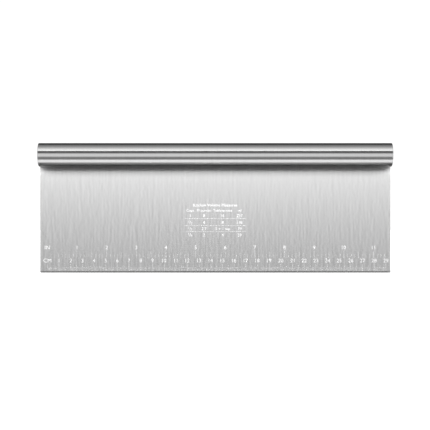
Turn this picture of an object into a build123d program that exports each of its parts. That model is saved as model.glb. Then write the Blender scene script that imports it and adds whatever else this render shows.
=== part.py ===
"""Bench scraper: a flat steel blade welded into the lengthwise slot of a round tubular handle.

Millimetres. X runs along the blade's width, Y through its thickness with the front at -Y, and Z up from
the scraping edge to the handle. The origin is under the middle of the scraping edge.
"""
import math
import os

from build123d import *

# Driving dimensions
OVERALL_HEIGHT = 111.0
OVERALL_WIDTH = 302.5
HANDLE_DIAMETER = 20.0
TUBE_WALL = 0.8
BLADE_WIDTH = 299.8
BLADE_THICKNESS = 1.0

# The blade's ground scraping edge, its rounded lower corners and its deburred top edge
BEVEL_HEIGHT = 1.4
EDGE_LAND = 0.4
CORNER_RADIUS = 1.0
DEBURR = 0.06
CROWN_CLEARANCE = 0.15
SLOT_CLEARANCE = 0.05

# End caps: a thin disc with a short collar that sits inside the tube
CAP_THICKNESS = 1.0
CAP_RIM_RADIUS = 0.4
COLLAR_DEPTH = 0.3
COLLAR_WALL = 1.0
COLLAR_CLEARANCE = 0.05
WELD_GROOVE = 0.25

# Weld beads between the blade and the tube
TACK_COUNT = 5
TACK_LENGTH = 9.0
TACK_RADIUS = 1.2
TACK_SPAN = 276.0
PLUG_RADIUS = 0.7

# Worked out from the driving dimensions
HANDLE_RADIUS = HANDLE_DIAMETER / 2
BORE_RADIUS = HANDLE_RADIUS - TUBE_WALL
AXIS_HEIGHT = OVERALL_HEIGHT - HANDLE_RADIUS
TUBE_END = OVERALL_WIDTH / 2 - CAP_THICKNESS
HALF_THICKNESS = BLADE_THICKNESS / 2
HALF_SLOT = HALF_THICKNESS + SLOT_CLEARANCE
BLADE_TOP = AXIS_HEIGHT + math.sqrt(BORE_RADIUS**2 - HALF_THICKNESS**2) - CROWN_CLEARANCE
SLOT_MOUTH = AXIS_HEIGHT - math.sqrt(HANDLE_RADIUS**2 - HALF_SLOT**2)


def prism(face, depth):
    """A face pushed out by half of depth to each side."""
    return extrude(face, amount=depth / 2, both=True)


def turned(profile):
    """A solid turned about the handle's axis, from its outline of (x, radius) points."""
    section = make_face(Plane.XZ * Polyline(*profile, close=True))
    return Pos(0, 0, AXIS_HEIGHT) * revolve(section, Axis.X)


def other_end(solid):
    """The matching solid at the opposite end of the handle."""
    return mirror(solid, Plane.YZ)


def make_blade():
    """Sheet with a bevelled lower edge: the common part of its end and front outlines."""
    half_land = EDGE_LAND / 2
    right_side = [
        (half_land, 0),
        (HALF_THICKNESS, BEVEL_HEIGHT),
        (HALF_THICKNESS, BLADE_TOP - DEBURR),
        (HALF_THICKNESS - DEBURR, BLADE_TOP),
    ]
    left_side = [(-y, z) for y, z in reversed(right_side)]
    section = make_face(Plane.YZ * Polyline(*right_side, *left_side, close=True))

    front = Pos(0, BLADE_TOP / 2) * fillet(Rectangle(BLADE_WIDTH, BLADE_TOP).vertices(), CORNER_RADIUS)
    return prism(section, BLADE_WIDTH) & prism(Plane.XZ * front, BLADE_THICKNESS)


def make_handle_tube():
    """Thin tube, open along its underside where the blade enters, with bevelled ends for the cap welds."""
    groove = HANDLE_RADIUS - WELD_GROOVE
    tube = turned(
        [
            (-TUBE_END, BORE_RADIUS),
            (TUBE_END, BORE_RADIUS),
            (TUBE_END, groove),
            (TUBE_END - WELD_GROOVE, HANDLE_RADIUS),
            (WELD_GROOVE - TUBE_END, HANDLE_RADIUS),
            (-TUBE_END, groove),
        ]
    )
    slot = Pos(0, 0, AXIS_HEIGHT - HANDLE_RADIUS) * Box(OVERALL_WIDTH, 2 * HALF_SLOT, HANDLE_RADIUS)
    return tube - slot


def make_end_cap():
    """Right-hand cap: a disc with a rounded rim and a collar that fits the bore."""
    collar_outside = BORE_RADIUS - COLLAR_CLEARANCE
    collar_inside = collar_outside - COLLAR_WALL
    face = TUBE_END + CAP_THICKNESS
    cap = turned(
        [
            (face, 0),
            (face, HANDLE_RADIUS),
            (TUBE_END + WELD_GROOVE, HANDLE_RADIUS),
            (TUBE_END, HANDLE_RADIUS - WELD_GROOVE),
            (TUBE_END, collar_outside),
            (TUBE_END - COLLAR_DEPTH, collar_outside),
            (TUBE_END - COLLAR_DEPTH, collar_inside),
            (TUBE_END, collar_inside),
            (TUBE_END, 0),
        ]
    )
    rim = cap.edges().filter_by(GeomType.CIRCLE).group_by(Axis.X)[-1]
    return fillet(rim, CAP_RIM_RADIUS)


def make_cap_weld():
    """Right-hand ring of weld metal, ground flush, in the groove between the tube and its cap."""
    return turned(
        [
            (TUBE_END - WELD_GROOVE, HANDLE_RADIUS),
            (TUBE_END, HANDLE_RADIUS - WELD_GROOVE),
            (TUBE_END + WELD_GROOVE, HANDLE_RADIUS),
        ]
    )


def make_seam_tacks():
    """Short fillet welds in the rear corner between the blade and the tube's underside."""
    straight = TACK_LENGTH - 2 * TACK_RADIUS
    bead = Rot(0, 90, 0) * Cylinder(TACK_RADIUS, straight)
    bead += Pos(straight / 2, 0, 0) * Sphere(TACK_RADIUS)
    bead += Pos(-straight / 2, 0, 0) * Sphere(TACK_RADIUS)
    bead = Pos(0, HALF_THICKNESS, SLOT_MOUTH) * bead

    blade_zone = Pos(0, HALF_THICKNESS - TACK_RADIUS, SLOT_MOUTH) * Box(
        2 * TACK_LENGTH, 2 * TACK_RADIUS, 4 * TACK_RADIUS
    )
    tube_zone = Pos(0, 0, AXIS_HEIGHT) * Rot(0, 90, 0) * Cylinder(HANDLE_RADIUS, 2 * TACK_LENGTH)
    tack = bead - blade_zone - tube_zone

    pitch = TACK_SPAN / (TACK_COUNT - 1)
    return [Pos(i * pitch - TACK_SPAN / 2, 0, 0) * tack for i in range(TACK_COUNT)]


def make_slot_end_weld(neighbours):
    """Right-hand plug of weld metal that closes the slot between the blade's side edge and the cap."""
    gap = TUBE_END - BLADE_WIDTH / 2
    middle = TUBE_END - gap / 2
    wall_fill = Pos(middle, 0, SLOT_MOUTH + TUBE_WALL / 2) * Box(gap, 2 * HALF_SLOT, TUBE_WALL)
    plug = wall_fill + Pos(middle, 0, SLOT_MOUTH + TUBE_WALL / 4) * Sphere(PLUG_RADIUS)
    bore = Pos(0, 0, AXIS_HEIGHT) * Rot(0, 90, 0) * Cylinder(BORE_RADIUS, OVERALL_WIDTH)
    plug = plug - bore
    for solid in neighbours:
        plug = plug - solid
    return plug


def main():
    blade = make_blade()
    handle_tube = make_handle_tube()
    end_cap = make_end_cap()
    cap_weld = make_cap_weld()
    slot_end_weld = make_slot_end_weld([blade, handle_tube, end_cap, cap_weld])

    nodes = {
        "blade": [blade],
        "handle_tube": [handle_tube],
        "right_end_cap": [end_cap],
        "left_end_cap": [other_end(end_cap)],
        "right_cap_weld": [cap_weld],
        "left_cap_weld": [other_end(cap_weld)],
        "seam_tack_welds": make_seam_tacks(),
        "slot_end_welds": [slot_end_weld, other_end(slot_end_weld)],
    }
    os.makedirs("parts", exist_ok=True)
    for name, shapes in nodes.items():
        solids = [solid for shape in shapes for solid in shape.solids()]
        export_step(Compound(children=solids), f"parts/{name}.step")
        print(name, len(solids), "solids,", round(sum(s.volume for s in solids), 1), "mm3")


main()
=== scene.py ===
"""Bench scraper: brushed steel blade with an etched ruler, round welded handle, and the studio around it.

Metres, in the part's own frame: X along the blade's width, Y away from the marked face, Z up.
"""
import math

import bmesh
import bpy
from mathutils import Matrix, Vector


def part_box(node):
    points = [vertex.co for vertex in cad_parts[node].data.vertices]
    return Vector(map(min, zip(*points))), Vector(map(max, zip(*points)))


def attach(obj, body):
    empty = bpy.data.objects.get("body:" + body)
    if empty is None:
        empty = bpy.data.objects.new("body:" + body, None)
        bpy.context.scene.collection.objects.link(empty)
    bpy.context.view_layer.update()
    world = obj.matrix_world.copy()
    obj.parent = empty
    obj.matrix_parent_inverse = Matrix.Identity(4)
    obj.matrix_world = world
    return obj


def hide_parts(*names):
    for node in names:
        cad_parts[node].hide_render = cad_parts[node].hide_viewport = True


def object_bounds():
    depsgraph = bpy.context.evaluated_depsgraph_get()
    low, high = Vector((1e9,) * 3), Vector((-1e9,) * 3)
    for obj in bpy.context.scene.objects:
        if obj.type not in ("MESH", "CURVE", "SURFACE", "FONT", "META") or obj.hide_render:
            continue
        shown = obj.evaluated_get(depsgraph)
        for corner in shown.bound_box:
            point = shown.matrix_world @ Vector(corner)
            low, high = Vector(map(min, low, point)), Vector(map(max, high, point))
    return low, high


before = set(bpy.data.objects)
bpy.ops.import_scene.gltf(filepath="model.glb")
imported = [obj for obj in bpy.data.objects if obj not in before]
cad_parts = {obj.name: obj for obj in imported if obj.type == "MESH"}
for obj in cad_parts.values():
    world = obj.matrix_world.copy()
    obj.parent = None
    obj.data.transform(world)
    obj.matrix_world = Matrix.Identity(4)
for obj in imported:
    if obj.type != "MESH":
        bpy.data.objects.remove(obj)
cad_low, cad_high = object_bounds()

MM = 0.001
INCH = 25.4 * MM

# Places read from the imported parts
blade_low, blade_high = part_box("blade")
cap_low, cap_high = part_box("right_end_cap")
tube_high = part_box("handle_tube")[1]
weld_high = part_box("right_cap_weld")[1]
tack_low, tack_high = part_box("seam_tack_welds")

HANDLE_RADIUS = (cap_high.z - cap_low.z) / 2
AXIS_HEIGHT = (cap_high.z + cap_low.z) / 2
HANDLE_AXIS = Vector((0, 0, AXIS_HEIGHT))
TUBE_END = tube_high.x
HANDLE_END = cap_high.x
BLADE_HALF_WIDTH = blade_high.x
BLADE_FACE = blade_low.y
HALF_THICKNESS = blade_high.y

# Details of the handle that a box doesn't hold
TUBE_WALL = 0.8 * MM
SLOT_CLEARANCE = 0.05 * MM
WELD_GROOVE = weld_high.x - TUBE_END
CAP_RIM_RADIUS = 0.4 * MM
COLLAR_WALL = 1.0 * MM
COLLAR_CLEARANCE = 0.05 * MM
TACK_COUNT = 5
TACK_LENGTH = 9.0 * MM
TACK_RADIUS = 1.2 * MM

# Fineness of the meshes
ROUND_STEPS = 192
TUBE_STRETCHES = 24
POLE_RADIUS = 1e-9
MERGE_DISTANCE = 1e-7


# ---------------------------------------------------------------- mesh helpers

def piece_from(bm, name, material, sharp_angle=35):
    """Turns a bmesh into a smooth-shaded piece that rides on the root body."""
    bmesh.ops.remove_doubles(bm, verts=bm.verts, dist=MERGE_DISTANCE)
    bmesh.ops.recalc_face_normals(bm, faces=bm.faces)
    mesh = bpy.data.meshes.new(name)
    bm.to_mesh(mesh)
    bm.free()
    mesh.polygons.foreach_set("use_smooth", [True] * len(mesh.polygons))
    mesh.set_sharp_from_angle(angle=math.radians(sharp_angle))
    mesh.materials.append(material)
    piece = bpy.data.objects.new(name, mesh)
    bpy.context.scene.collection.objects.link(piece)
    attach(piece, "root")
    return piece


def skin(bm, rings, closed_rings=True, closed_ends=False):
    """Joins neighbouring rings of points with quads; closed_ends fills the first and last ring."""
    rows = [[bm.verts.new(point) for point in ring] for ring in rings]
    count = len(rows[0])
    for near, far in zip(rows, rows[1:]):
        for i in range(count if closed_rings else count - 1):
            j = (i + 1) % count
            bm.faces.new((near[i], near[j], far[j], far[i]))
    if closed_ends:
        bm.faces.new(rows[0])
        bm.faces.new(rows[-1])
    return rows


def around(x, radius, turn):
    """A point on the handle; turn is measured from straight down, towards the back."""
    return Vector((x, radius * math.sin(turn), AXIS_HEIGHT - radius * math.cos(turn)))


def turned(bm, profile):
    """A closed solid of revolution about the handle's axis from (x, radius) points; radius 0 is a pole."""
    turns = [2 * math.pi * i / ROUND_STEPS for i in range(ROUND_STEPS)]
    skin(
        bm,
        [
            [around(x, max(radius, POLE_RADIUS), turn) for x, radius in profile]
            for turn in turns + turns[:1]
        ],
    )


# ------------------------------------------------------------------- materials

def shader(name):
    """A new material's node tree and its Principled node."""
    material = bpy.data.materials.new(name)
    material.use_nodes = True
    tree = material.node_tree
    return material, tree, tree.nodes["Principled BSDF"]


def add(tree, kind, **settings):
    """A new node with its settings."""
    made = tree.nodes.new(kind)
    for key, value in settings.items():
        setattr(made, key, value)
    return made


def object_space(tree, offset=(0, 0, 0), scale=(1, 1, 1)):
    """The piece's own coordinates, moved and then scaled."""
    coordinates = add(tree, "ShaderNodeTexCoord")
    moved = add(tree, "ShaderNodeVectorMath", operation="ADD")
    moved.inputs[1].default_value = offset
    tree.links.new(coordinates.outputs["Object"], moved.inputs[0])
    scaled = add(tree, "ShaderNodeVectorMath", operation="MULTIPLY")
    scaled.inputs[1].default_value = scale
    tree.links.new(moved.outputs[0], scaled.inputs[0])
    return scaled.outputs[0]


def noise(tree, vector, detail=4, roughness=0.6):
    """Noise from 0 to 1, about 0.5, whose scale is already in the vector."""
    made = add(tree, "ShaderNodeTexNoise")
    made.inputs["Scale"].default_value = 1
    made.inputs["Detail"].default_value = detail
    made.inputs["Roughness"].default_value = roughness
    tree.links.new(vector, made.inputs["Vector"])
    return made.outputs["Fac"]


def blend(tree, first, second, share):
    """Mixes two values; share is how much of the second."""
    mix = add(tree, "ShaderNodeMix", data_type="FLOAT")
    mix.inputs["Factor"].default_value = share
    tree.links.new(first, mix.inputs["A"])
    tree.links.new(second, mix.inputs["B"])
    return mix.outputs["Result"]


def spread(tree, value, low, high, near=0.3, far=0.7):
    """Maps a noise value from near..far to low..high."""
    mapped = add(tree, "ShaderNodeMapRange")
    mapped.inputs["From Min"].default_value = near
    mapped.inputs["From Max"].default_value = far
    mapped.inputs["To Min"].default_value = low
    mapped.inputs["To Max"].default_value = high
    tree.links.new(value, mapped.inputs["Value"])
    return mapped.outputs["Result"]


def streaks(tree, scale, apart, detail, roughness):
    """Noise less the same noise a little further along X, about 0.5: streaks with no slow drift."""
    here = noise(tree, object_space(tree, scale=scale), detail, roughness)
    there = noise(tree, object_space(tree, offset=(apart, 0, 0), scale=scale), detail, roughness)
    change = add(tree, "ShaderNodeMath", operation="SUBTRACT")
    tree.links.new(here, change.inputs[0])
    tree.links.new(there, change.inputs[1])
    centred = add(tree, "ShaderNodeMath", operation="ADD")
    centred.inputs[1].default_value = 0.5
    tree.links.new(change.outputs[0], centred.inputs[0])
    return centred.outputs[0]


def heavier_below(tree, grain, top, bottom_factor):
    """Widens a grain's swing about 0.5 from the height top downwards, to bottom_factor at the edge."""
    height = add(tree, "ShaderNodeSeparateXYZ")
    tree.links.new(object_space(tree), height.inputs[0])
    factor = spread(tree, height.outputs["Z"], bottom_factor, 1, 0, top)
    swing = add(tree, "ShaderNodeMath", operation="SUBTRACT")
    swing.inputs[1].default_value = 0.5
    tree.links.new(grain, swing.inputs[0])
    widened = add(tree, "ShaderNodeMath", operation="MULTIPLY_ADD")
    widened.inputs[2].default_value = 0.5
    tree.links.new(swing.outputs[0], widened.inputs[0])
    tree.links.new(factor, widened.inputs[1])
    return widened.outputs[0]


def finish_steel(
    tree, principled, grain, grey, grey_swing, roughness, roughness_swing=0, bump_height=0
):
    """Drives colour, roughness and bump of a metal from one grain value."""
    principled.inputs["Metallic"].default_value = 1
    tone = add(tree, "ShaderNodeCombineColor")
    value = spread(tree, grain, grey - grey_swing, grey + grey_swing)
    for channel in ("Red", "Green", "Blue"):
        tree.links.new(value, tone.inputs[channel])
    tree.links.new(tone.outputs[0], principled.inputs["Base Color"])
    principled.inputs["Roughness"].default_value = roughness
    if roughness_swing:
        rough = spread(tree, grain, roughness - roughness_swing, roughness + roughness_swing)
        tree.links.new(rough, principled.inputs["Roughness"])
    if bump_height:
        bump = add(tree, "ShaderNodeBump")
        bump.inputs["Strength"].default_value = 1
        bump.inputs["Distance"].default_value = bump_height
        tree.links.new(grain, bump.inputs["Height"])
        tree.links.new(bump.outputs[0], principled.inputs["Normal"])


def tangent(tree, principled, axis, turn=0.0):
    """Highlights stretch round the axis, or along it where turn is a quarter."""
    made = add(tree, "ShaderNodeTangent", direction_type="RADIAL", axis=axis)
    principled.inputs["Anisotropic Rotation"].default_value = turn
    tree.links.new(made.outputs[0], principled.inputs["Tangent"])


# Depth of the scratches left by brushing, turning and grinding
MACHINED_DEPTH = 0.0004 * MM
# Turns the anisotropic highlight from round the axis to along it
QUARTER_TURN = 0.25


def blade_steel():
    """Sheet brushed from the handle to the edge: long vertical streaks over fine vertical scratches."""
    material, tree, principled = shader("blade_steel")
    apart = 1.7 * MM
    long_streaks = streaks(tree, (1600, 1600, 45), apart, detail=1, roughness=0.5)
    short_streaks = streaks(tree, (1900, 1900, 170), apart, detail=2, roughness=0.6)
    even = blend(tree, long_streaks, short_streaks, 0.5)
    grain = heavier_below(tree, even, top=80 * MM, bottom_factor=2.0)
    finish_steel(
        tree,
        principled,
        grain,
        grey=0.60,
        grey_swing=0.025,
        roughness=0.50,
        roughness_swing=0.014,
        bump_height=MACHINED_DEPTH,
    )
    principled.inputs["Anisotropic"].default_value = 0.5
    tangent(tree, principled, "Z")
    return material


def handle_steel():
    """Tube polished round and round: fine scratches round the tube, and highlights that run along it."""
    material, tree, principled = shader("handle_steel")
    bands = noise(tree, object_space(tree, scale=(1300, 12, 12)), detail=2, roughness=0.6)
    scratches = noise(tree, object_space(tree, scale=(5200, 60, 60)), detail=3, roughness=0.6)
    grain = blend(tree, bands, scratches, 0.4)
    finish_steel(tree, principled, grain, grey=0.64, grey_swing=0.022, roughness=0.30)
    principled.inputs["Anisotropic"].default_value = 0.95
    tangent(tree, principled, "X", QUARTER_TURN)
    return material


def radius_grain(tree, rings_per_metre):
    """Noise that changes with the distance from the handle's axis."""
    centred = object_space(tree, offset=-HANDLE_AXIS, scale=(0, 1, 1))
    length = add(tree, "ShaderNodeVectorMath", operation="LENGTH")
    tree.links.new(centred, length.inputs[0])
    scaled = add(tree, "ShaderNodeMath", operation="MULTIPLY")
    scaled.inputs[1].default_value = rings_per_metre
    tree.links.new(length.outputs["Value"], scaled.inputs[0])
    made = add(tree, "ShaderNodeTexNoise", noise_dimensions="1D")
    made.inputs["Scale"].default_value = 1
    made.inputs["Detail"].default_value = 3
    tree.links.new(scaled.outputs[0], made.inputs["W"])
    return made.outputs["Fac"]


def cap_steel():
    """Disc faced on a lathe: faint rings about its centre."""
    material, tree, principled = shader("cap_steel")
    rings = radius_grain(tree, rings_per_metre=3200)
    clouds = noise(tree, object_space(tree, scale=(500, 500, 500)), detail=3)
    finish_steel(
        tree,
        principled,
        blend(tree, rings, clouds, 0.3),
        grey=0.64,
        grey_swing=0.025,
        roughness=0.31,
        roughness_swing=0.02,
        bump_height=MACHINED_DEPTH,
    )
    principled.inputs["Anisotropic"].default_value = 0.9
    tangent(tree, principled, "X", QUARTER_TURN)
    return material


def ground_weld():
    """Ring of weld metal ground flush: a little duller than the tube, with fine marks round it."""
    material, tree, principled = shader("ground_weld")
    marks = noise(tree, object_space(tree, scale=(9000, 400, 400)), detail=3)
    finish_steel(
        tree,
        principled,
        marks,
        grey=0.62,
        grey_swing=0.03,
        roughness=0.33,
        roughness_swing=0.03,
        bump_height=MACHINED_DEPTH,
    )
    principled.inputs["Anisotropic"].default_value = 0.8
    tangent(tree, principled, "X", QUARTER_TURN)
    return material


def weld_bead():
    """Bead as it was laid: bright metal with a slight warm heat tint in patches."""
    tinted, clean = (0.46, 0.43, 0.40, 1), (0.62, 0.61, 0.60, 1)
    material, tree, principled = shader("weld_bead")
    patches = noise(tree, object_space(tree, scale=(700, 700, 700)), detail=4)
    principled.inputs["Metallic"].default_value = 1
    ramp = add(tree, "ShaderNodeValToRGB")
    for stop, position, colour in zip(ramp.color_ramp.elements, (0.35, 0.65), (tinted, clean)):
        stop.position = position
        stop.color = colour
    tree.links.new(patches, ramp.inputs["Fac"])
    tree.links.new(ramp.outputs["Color"], principled.inputs["Base Color"])
    tree.links.new(spread(tree, patches, 0.28, 0.42), principled.inputs["Roughness"])
    bump = add(tree, "ShaderNodeBump")
    bump.inputs["Distance"].default_value = 0.01 * MM
    tree.links.new(noise(tree, object_space(tree, scale=(4000, 4000, 4000))), bump.inputs["Height"])
    tree.links.new(bump.outputs[0], principled.inputs["Normal"])
    return material


def etched_marks():
    """Frosted metal where the marks are etched: paler than the blade, with a fine speckle."""
    material, tree, principled = shader("etched_marks")
    speckle = noise(tree, object_space(tree, scale=(9000, 9000, 9000)), detail=2)
    finish_steel(
        tree,
        principled,
        speckle,
        grey=0.86,
        grey_swing=0.03,
        roughness=0.51,
        roughness_swing=0.03,
        bump_height=0.003 * MM,
    )
    principled.inputs["Anisotropic"].default_value = 0.2
    tangent(tree, principled, "Z")
    return material


# ---------------------------------------------------------------------- handle

def make_tube(material):
    """Slotted tube as one closed shell: outer and inner arcs from one lip of the slot to the other."""
    half_slot = HALF_THICKNESS + SLOT_CLEARANCE
    bore = HANDLE_RADIUS - TUBE_WALL

    def ring(x, outer):
        points = []
        for radius, order in ((outer, 1), (bore, -1)):
            lip = math.asin(half_slot / radius)
            sweep = 2 * math.pi - 2 * lip
            turns = [lip + sweep * i / ROUND_STEPS for i in range(ROUND_STEPS + 1)]
            points += [around(x, radius, turn) for turn in turns[::order]]
        return points

    inner_end = TUBE_END - WELD_GROOVE
    rings = [ring(-TUBE_END, HANDLE_RADIUS - WELD_GROOVE)]
    for i in range(TUBE_STRETCHES + 1):
        rings.append(ring(-inner_end + 2 * inner_end * i / TUBE_STRETCHES, HANDLE_RADIUS))
    rings.append(ring(TUBE_END, HANDLE_RADIUS - WELD_GROOVE))
    bm = bmesh.new()
    rows = skin(bm, rings)
    count = len(rows[0])
    for row in (rows[0], rows[-1]):
        for i in range(ROUND_STEPS):
            bm.faces.new((row[i], row[i + 1], row[count - 2 - i], row[count - 1 - i]))
    tube = piece_from(bm, "polished_tube", material)
    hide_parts("handle_tube")
    return tube


def rim_arc(face, steps=10):
    """(x, radius) points of a cap's rounded rim, from the side to the flat face."""
    centre_x, centre_radius = face - CAP_RIM_RADIUS, HANDLE_RADIUS - CAP_RIM_RADIUS
    points = []
    for i in range(steps + 1):
        angle = math.pi / 2 * i / steps
        x = centre_x + CAP_RIM_RADIUS * math.sin(angle)
        points.append((x, centre_radius + CAP_RIM_RADIUS * math.cos(angle)))
    return points


def make_cap(side, material):
    """Cap at one end of the handle: side is 1 for the right and -1 for the left."""
    collar_out = HANDLE_RADIUS - TUBE_WALL - COLLAR_CLEARANCE
    collar_in = collar_out - COLLAR_WALL
    groove = HANDLE_RADIUS - WELD_GROOVE
    flat = HANDLE_RADIUS - CAP_RIM_RADIUS
    profile = [
        (TUBE_END, 0),
        (TUBE_END, collar_in),
        (cap_low.x, collar_in),
        (cap_low.x, collar_out),
        (TUBE_END, collar_out),
        (TUBE_END, groove),
        (TUBE_END + WELD_GROOVE, HANDLE_RADIUS),
    ]
    profile += rim_arc(HANDLE_END)
    profile += [(HANDLE_END, flat * share) for share in (0.8, 0.6, 0.4, 0.2, 0)]
    bm = bmesh.new()
    turned(bm, [(side * x, radius) for x, radius in profile])
    name = "right" if side > 0 else "left"
    cap = piece_from(bm, f"{name}_faced_cap", material)
    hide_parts(f"{name}_end_cap")
    return cap


def make_cap_weld(side, material):
    """Ring of weld metal, ground level with the tube and the cap."""
    profile = [
        (TUBE_END - WELD_GROOVE, HANDLE_RADIUS),
        (TUBE_END, HANDLE_RADIUS - WELD_GROOVE),
        (TUBE_END + WELD_GROOVE, HANDLE_RADIUS),
    ]
    bm = bmesh.new()
    turned(bm, [(side * x, radius) for x, radius in profile])
    name = "right" if side > 0 else "left"
    ring = piece_from(bm, f"{name}_ground_weld", material)
    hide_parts(f"{name}_cap_weld")
    return ring


def make_tacks(material):
    """Rippled fillet beads in the rear corner between the blade and the tube."""
    lengths, arc, ripples = 72, 12, 8
    # Shares of a bead's radius: what is left at its tips, and how deep a ripple cuts
    tip_share, ripple_depth = 0.12, 0.10
    # How far a ripple bows along the bead at the middle of its section
    bow_height = 0.075 * TACK_RADIUS
    # The section sweeps from just inside the blade to level with the mouth of the slot
    start, sweep = -0.06 * math.pi, 0.56 * math.pi
    corner = Vector((0, HALF_THICKNESS, tack_low.z + TACK_RADIUS))
    buried = Vector((0, -0.1 * MM, 0.25 * MM))
    span = (tack_high.x - tack_low.x) - TACK_LENGTH
    bm = bmesh.new()
    for tack in range(TACK_COUNT):
        middle = span * (tack / (TACK_COUNT - 1) - 0.5)
        rings = []
        for i in range(lengths + 1):
            along = 2 * i / lengths - 1
            envelope = max(1 - abs(along) ** 6, 0) ** 0.5
            phase = (i / lengths * ripples) % 1
            rippled = envelope * (1 - ripple_depth + ripple_depth * phase**0.5)
            radius = TACK_RADIUS * (tip_share + (1 - tip_share) * rippled)
            x = middle + along * TACK_LENGTH / 2
            ring = [corner + buried + Vector((x, 0, 0))]
            for k in range(arc + 1):
                turn = start + sweep * k / arc
                bow = bow_height * envelope * (1 - (2 * k / arc - 1) ** 2)
                reach = min(radius + bow * (phase - 0.5), TACK_RADIUS)
                across = Vector((x - bow * 0.6, reach * math.sin(turn), -reach * math.cos(turn)))
                ring.append(corner + across)
            rings.append(ring)
        skin(bm, rings, closed_ends=True)
    beads = piece_from(bm, "seam_weld_beads", material, sharp_angle=60)
    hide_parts("seam_tack_welds")
    return beads


# ----------------------------------------------------------------------- marks

MARK_PROUD = 0.03 * MM
MARK_DEPTH = 0.12 * MM
FONT_CAP_HEIGHT = 0.682
LETTER_STEPS = 4

# The two scales: where zero is, how high the numerals are and how far their unit's name is stretched
SCALE_ZERO = -BLADE_HALF_WIDTH + 6.05 * MM
NUMERAL_HEIGHT = 3.1 * MM
UNIT_STRETCH = 1.1
# Each scale's ticks as (one in how many steps, top, width), the longest first
CENTIMETRE_TICKS = ((10, 7.4 * MM, 0.15 * MM), (5, 6.2 * MM, 0.12 * MM), (1, 4.8 * MM, 0.10 * MM))
INCH_TICKS = ((8, 18.9 * MM, 0.15 * MM), (4, 17.6 * MM, 0.12 * MM), (1, 15.9 * MM, 0.10 * MM))

# The table: heights of its letters, centres of its columns and the feet of its rows and rules
TITLE_HEIGHT = 2.4 * MM
HEADER_HEIGHT = 2.1 * MM
ENTRY_HEIGHT = 2.4 * MM
FRACTION_HEIGHT = 3.1 * MM
FRACTION_DROP = 0.3 * MM
TITLE_BASE = 56.7 * MM
HEADER_BASE = 52.3 * MM
TABLE_COLUMNS = (-21.5 * MM, -9.6 * MM, 6.3 * MM, 20.9 * MM)
ROW_BASES = (47.6 * MM, 41.7 * MM, 36.4 * MM, 31.1 * MM)
RULE_HEIGHTS = (46.3 * MM, 40.3 * MM, 35.1 * MM)
RULE_ENDS = (-26 * MM, 26.5 * MM)
RULE_WIDTH = 0.16 * MM


def bar(bm, x, z_low, z_high, width):
    """An upright stroke on the blade's front face."""
    box(bm, x - width / 2, x + width / 2, z_low, z_high)


def rule(bm, x_low, x_high, z, width):
    """A level stroke on the blade's front face."""
    box(bm, x_low, x_high, z - width / 2, z + width / 2)


def box(bm, x_low, x_high, z_low, z_high):
    """A thin block let into the blade's front face and a little proud of it."""
    front, back = BLADE_FACE - MARK_PROUD, BLADE_FACE - MARK_PROUD + MARK_DEPTH
    corners = ((x_low, z_low), (x_high, z_low), (x_high, z_high), (x_low, z_high))
    skin(bm, [[Vector((x, y, z)) for x, z in corners] for y in (front, back)], closed_ends=True)


def letters(bm, text, height, centre_x, base_z, stretch=1.0):
    """Text on the blade's front face, capitals that high, centred on centre_x, standing on base_z."""
    size = height / FONT_CAP_HEIGHT
    curve = bpy.data.curves.new("lettering", "FONT")
    curve.body = text
    curve.size = size
    curve.extrude = MARK_DEPTH / 2
    curve.resolution_u = LETTER_STEPS
    written = bpy.data.objects.new("lettering", curve)
    bpy.context.scene.collection.objects.link(written)
    seen = written.evaluated_get(bpy.context.evaluated_depsgraph_get())
    mesh = bpy.data.meshes.new_from_object(seen)
    bpy.data.objects.remove(written)
    across = [v.co.x for v in mesh.vertices]
    middle = (min(across) + max(across)) / 2
    depth_middle = BLADE_FACE - MARK_PROUD + MARK_DEPTH / 2
    for v in mesh.vertices:
        x, up, out = v.co
        v.co = (centre_x + (x - middle) * stretch, depth_middle - out, base_z + up)
    bm.from_mesh(mesh)
    bpy.data.meshes.remove(mesh)


def make_scale(name, material, unit, step, first, last, ticks, foot, numeral_base):
    """Ticks of three lengths, a numeral over each whole unit and the unit's name over zero."""
    bm = bmesh.new()
    for count in range(first, last + 1):
        top, width = next((top, width) for every, top, width in ticks if count % every == 0)
        bar(bm, SCALE_ZERO + count * step, foot, top, width)
    letters(bm, unit, NUMERAL_HEIGHT, SCALE_ZERO, numeral_base, stretch=UNIT_STRETCH)
    per_unit = ticks[0][0]
    for whole in range(1, last // per_unit + 1):
        x = SCALE_ZERO + whole * per_unit * step
        letters(bm, str(whole), NUMERAL_HEIGHT, x, numeral_base)
    return piece_from(bm, name, material)


def fraction(bm, top, bottom, x, base_z, height):
    """A small slanted fraction, centred on x."""
    small = height * 0.62
    apart = height * 0.36
    letters(bm, top, small, x - apart, base_z + height - small)
    letters(bm, "/", height, x, base_z)
    letters(bm, bottom, small, x + apart, base_z)


def make_table(material):
    """Table of kitchen volumes in the middle of the blade: a title, a header and four ruled rows."""
    rows = (
        ("1", "8", "16", "237"),
        (("1", "2"), "4", "8", "118"),
        (("1", "3"), "2.7", "5 + 1 tsp", "79"),
        (("1", "4"), "2", "4", "59"),
    )
    bm = bmesh.new()
    letters(bm, "Kitchen Volume Measures", TITLE_HEIGHT, 0, TITLE_BASE, stretch=1.02)
    for name, x in zip(("Cups", "Fl ounces", "Tablespoons", "ml"), TABLE_COLUMNS):
        letters(bm, name, HEADER_HEIGHT, x, HEADER_BASE, stretch=1.05)
    for row, base_z in zip(rows, ROW_BASES):
        for entry, x in zip(row, TABLE_COLUMNS):
            if isinstance(entry, tuple):
                fraction(bm, *entry, x, base_z - FRACTION_DROP, FRACTION_HEIGHT)
            else:
                letters(bm, entry, ENTRY_HEIGHT, x, base_z)
    for z in RULE_HEIGHTS:
        rule(bm, *RULE_ENDS, z, RULE_WIDTH)
    return piece_from(bm, "volume_table", material)


# ----------------------------------------------------------------------- build

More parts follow.
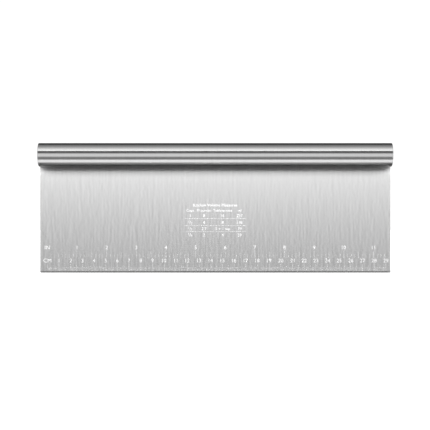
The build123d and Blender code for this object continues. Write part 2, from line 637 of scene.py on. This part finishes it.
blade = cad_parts["blade"]
blade.data.materials[0] = blade_steel()
steel = handle_steel()
cap_finish = cap_steel()
ring_finish = ground_weld()
bead_finish = weld_bead()
mark_finish = etched_marks()

handle_pieces = [make_tube(steel)]
for end in (1, -1):
    handle_pieces.append(make_cap(end, cap_finish))
    handle_pieces.append(make_cap_weld(end, ring_finish))
beads = make_tacks(bead_finish)
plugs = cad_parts["slot_end_welds"]
plugs.data.materials[0] = bead_finish
marks = [
    make_scale(
        "centimetre_scale",
        mark_finish,
        unit="CM",
        step=MM,
        first=0,
        last=290,
        ticks=CENTIMETRE_TICKS,
        foot=1.5 * MM,
        numeral_base=8.8 * MM,
    ),
    make_scale(
        "inch_scale",
        mark_finish,
        unit="IN",
        step=INCH / 8,
        first=1,
        last=91,
        ticks=INCH_TICKS,
        foot=12.9 * MM,
        numeral_base=20.0 * MM,
    ),
    make_table(mark_finish),
]


# ---------------------------------------------------------------------- studio

def group(name, pieces):
    """A collection of what a light falls on."""
    made = bpy.data.collections.new(name)
    for piece in pieces:
        made.objects.link(piece)
    return made


def place(name, data, location, aim):
    """A light or camera at a place, pointed at another."""
    made = bpy.data.objects.new(name, data)
    bpy.context.scene.collection.objects.link(made)
    made.location = location
    made.rotation_euler = (aim - location).to_track_quat("-Z", "Y").to_euler()
    return made


def area_light(name, location, aim, width, height, radiance, lit):
    """A rectangular light of even radiance that the camera doesn't see and that falls on one group."""
    light = bpy.data.lights.new(name, "AREA")
    light.shape = "RECTANGLE"
    light.size = width
    light.size_y = height
    light.energy = radiance * math.pi * width * height
    made = place(name, light, location, aim)
    made.visible_camera = False
    made.light_linking.receiver_collection = lit


def softbox(name, low, high, reach, length, radiance, lit):
    """A long light level with X that fills the elevations low to high, in degrees, from the handle."""
    middle, half = math.radians((low + high) / 2), math.radians((high - low) / 2)
    towards = Vector((0, -math.cos(middle), math.sin(middle)))
    height = 2 * reach * math.tan(half)
    area_light(name, HANDLE_AXIS + towards * reach, HANDLE_AXIS, length, height, radiance, lit)


def panel(name, azimuth, elevation, distance, width, height, radiance, lit):
    """A light that faces the handle; azimuth 0 is straight in front and 90 at the right-hand end."""
    turn, rise = math.radians(azimuth), math.radians(elevation)
    level = math.cos(rise)
    towards = Vector((math.sin(turn) * level, -math.cos(turn) * level, math.sin(rise)))
    area_light(name, HANDLE_AXIS + towards * distance, HANDLE_AXIS, width, height, radiance, lit)


def under_tube(name, side, depth, height, radiance, lit):
    """A small light under one end of the tube that shines along the blade towards its middle."""
    beyond, clear = 1.2 * MM, 0.2 * MM
    x = side * (BLADE_HALF_WIDTH + beyond)
    y = BLADE_FACE - clear - depth / 2
    z = AXIS_HEIGHT - HANDLE_RADIUS - height / 2
    area_light(name, Vector((x, y, z)), Vector((0, y, z)), depth, height, radiance, lit)


def stage_material(name, grey, glow):
    """A matt grey that also glows white."""
    material, tree, principled = shader(name)
    principled.inputs["Base Color"].default_value = (grey, grey, grey, 1)
    principled.inputs["Roughness"].default_value = 1
    principled.inputs["Specular IOR Level"].default_value = 0
    principled.inputs["Emission Color"].default_value = (1, 1, 1, 1)
    principled.inputs["Emission Strength"].default_value = glow
    return material


def stage_piece(bm, name, material, height=0.0):
    """Part of the studio, which only the camera sees."""
    mesh = bpy.data.meshes.new(name)
    bm.to_mesh(mesh)
    bm.free()
    mesh.materials.append(material)
    piece = bpy.data.objects.new(name, mesh)
    bpy.context.scene.collection.objects.link(piece)
    piece.location.z = height
    piece.visible_diffuse = False
    piece.visible_glossy = False
    piece.visible_transmission = False
    piece.visible_volume_scatter = False
    piece.visible_shadow = False
    return piece


def make_floor(radius):
    """A pale disc just below the object."""
    bm = bmesh.new()
    bmesh.ops.create_circle(bm, cap_ends=True, segments=96, radius=radius)
    material = stage_material("pale_floor", 0.8, 0.55)
    return stage_piece(bm, "floor", material, height=cad_low.z - 0.05 * MM)


def make_backdrop(radius):
    """A white sphere all round."""
    bm = bmesh.new()
    bmesh.ops.create_uvsphere(bm, u_segments=64, v_segments=32, radius=radius)
    return stage_piece(bm, "backdrop", stage_material("white_backdrop", 0, 1.05))


STUDIO_RADIUS = 3.0
floor = make_floor(STUDIO_RADIUS)
make_backdrop(STUDIO_RADIUS)

for piece in handle_pieces + marks + [blade, beads, plugs]:
    piece.visible_diffuse = False

on_handle = group("on_handle", handle_pieces + [beads, plugs])
on_blade = group("on_blade", [blade, beads, plugs] + marks)
on_caps = group("on_caps", handle_pieces[1:])
on_floor = group("on_floor", [floor])

# Lights that fall on the handle: (name, lowest and highest elevation in degrees, radiance)
HANDLE_REACH = 1.25
HANDLE_LENGTH = 3.2
for name, low, high, radiance in (
    ("handle_crown_fade", 97, 118, 0.24),
    ("handle_crown", 80, 97, 0.42),
    ("handle_top_edge", 70, 80, 0.60),
    ("handle_top_fade", 50, 70, 1.01),
    ("handle_top", 37, 50, 1.84),
    ("handle_front_fade", 8, 18, 0.48),
    ("handle_front", -16, 8, 1.03),
    ("handle_front_edge", -25, -16, 0.77),
    ("handle_gap", -49, -25, 0.24),
    ("handle_low_fade", -56, -49, 0.59),
    ("handle_low", -80, -56, 1.36),
    ("handle_under", -94, -80, 0.64),
    ("rear_middle", 168, 192, 0.9),
):
    softbox(name, low, high, HANDLE_REACH, HANDLE_LENGTH, radiance, on_handle)

# Main lights on the blade, in front of it and behind
KEY_REACH = 0.63
KEY_LENGTH = 2.4
softbox("blade_key", 42, 60, KEY_REACH, KEY_LENGTH, 46, on_blade)
softbox("blade_key_fade", 28, 42, KEY_REACH, KEY_LENGTH, 2.8, on_blade)
softbox("rear_key", 124, 147, KEY_REACH, KEY_LENGTH, 15, on_blade)

# Fainter lights that lift the shadow under the tube, the ends and the back
FILL_DISTANCE = 1.5
panel("front_bounce", 0, -3, 2.0, 2.0, 0.6, 0.13, on_blade)
for side, name in ((1, "right"), (-1, "left")):
    panel(f"{name}_front_fill", side * 45, -27, FILL_DISTANCE, 0.8, 0.5, 0.5, on_blade)
    panel(f"{name}_rear_fill", side * 135, -15, FILL_DISTANCE, 1.2, 1.0, 1.0, on_blade)
    under_tube(f"{name}_under_tube", side, 9 * MM, 7 * MM, 1.2, on_blade)
    panel(f"{name}_end_panel", side * 90, 0, FILL_DISTANCE, 1.2, 1.8, 0.5, on_caps)
    panel(f"{name}_rear_end_panel", side * 135, -25, FILL_DISTANCE, 1.2, 1.0, 0.7, on_caps)

# The floor has its own light, wide enough to leave only a faint shadow at the foot
sun = bpy.data.lights.new("floor_light", "SUN")
sun.energy = 3.5
sun.angle = math.radians(60)
floor_light = place("floor_light", sun, Vector((0, -1, 2)), Vector((0, 0, 0)))
floor_light.light_linking.receiver_collection = on_floor

world = bpy.data.worlds.new("studio_air")
world.use_nodes = True
background = world.node_tree.nodes["Background"]
background.inputs["Color"].default_value = (1, 1, 1, 1)
background.inputs["Strength"].default_value = 0.02
bpy.context.scene.world = world
bpy.context.scene.view_settings.view_transform = "Standard"

# ---------------------------------------------------------------------- camera

CAMERA_DISTANCE = 1040 * MM
CAMERA_HEIGHT = 49.4 * MM
CAMERA_SIDE = -0.24 * MM
VIEW_WIDTH = 368.4 * MM
camera_data = bpy.data.cameras.new("camera")
camera_data.lens = camera_data.sensor_width * CAMERA_DISTANCE / VIEW_WIDTH
camera_at = Vector((CAMERA_SIDE, BLADE_FACE - CAMERA_DISTANCE, CAMERA_HEIGHT))
camera = place("camera", camera_data, camera_at, Vector((CAMERA_SIDE, 0, CAMERA_HEIGHT)))
bpy.context.scene.camera = camera
